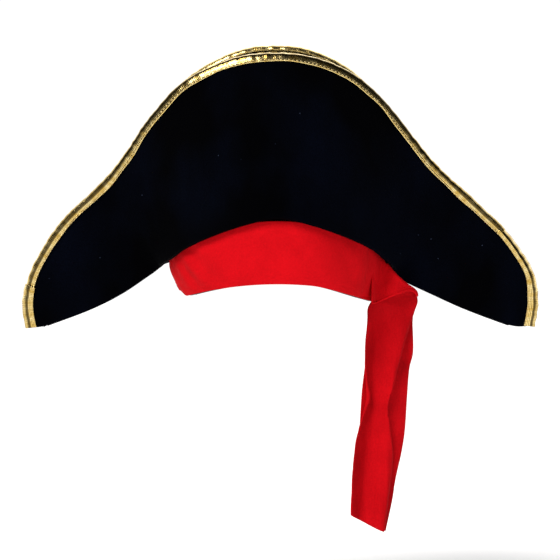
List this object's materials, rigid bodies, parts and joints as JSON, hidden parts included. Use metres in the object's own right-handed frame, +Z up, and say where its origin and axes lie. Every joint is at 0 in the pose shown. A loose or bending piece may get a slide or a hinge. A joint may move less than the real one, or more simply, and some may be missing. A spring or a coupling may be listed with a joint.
{
  "type": "pirate hat",
  "caption": "Costume pirate hat: black velvet brim panels turned up front and back, gold edge binding, soft crown, red sash with hanging tails at the wearer's left.",
  "frame": {"origin": "centre of the oval head opening, level with the lowest points of its edge at the two sides", "axes": "+Z up out of the crown, -Y the front of the hat, +X the wearer's left, where the sash hangs"},
  "size_m": [0.4366, 0.2352, 0.4178],
  "materials": {
    "velvet": "matte",
    "foam": "matte",
    "gold": "satin",
    "gold_thread": "satin",
    "lining": "satin",
    "stiffener": "matte",
    "sweatband": "matte",
    "thread": "satin",
    "label": "satin",
    "sash": "matte",
    "sash_thread": "matte"
  },
  "bodies": {
    "root": {"front_brim_velvet": "velvet", "front_brim_foam": "foam", "front_brim_lining": "velvet", "front_edge_binding": "gold", "front_binding_thread": "gold_thread", "back_brim_velvet": "velvet", "back_brim_foam": "foam", "back_brim_lining": "velvet", "back_edge_binding": "gold", "back_binding_thread": "gold_thread", "right_tip_binding": "gold", "left_tip_binding": "gold", "right_keel_tape": "velvet", "left_keel_tape": "velvet", "crown_side": "velvet", "crown_top": "velvet", "crown_lining": "lining", "headband_stiffener": "stiffener", "sweatband": "sweatband", "crown_seam_thread": "thread", "care_label": "label", "sash_band": "sash", "sash_rear_end": "sash", "sash_tack": "sash_thread"},
    "sash_corner": {"sash_fold": "sash"},
    "sash_tails": {"sash_tail_front": "sash", "sash_tail_back": "sash"}
  },
  "joints": [
    {"name": "sash_sway", "type": "hinge", "parent": "root", "child": "sash_corner", "pos_m": [0.091, -0.025, 0.021], "axis": [0, 1, 0], "range_deg": [-20, 5]},
    {"name": "tail_swing", "type": "hinge", "parent": "sash_corner", "child": "sash_tails", "pos_m": [0.1, -0.0314, -0.0062], "axis": [0.8809, 0.4733, 0], "range_deg": [-45, 45]}
  ]
}
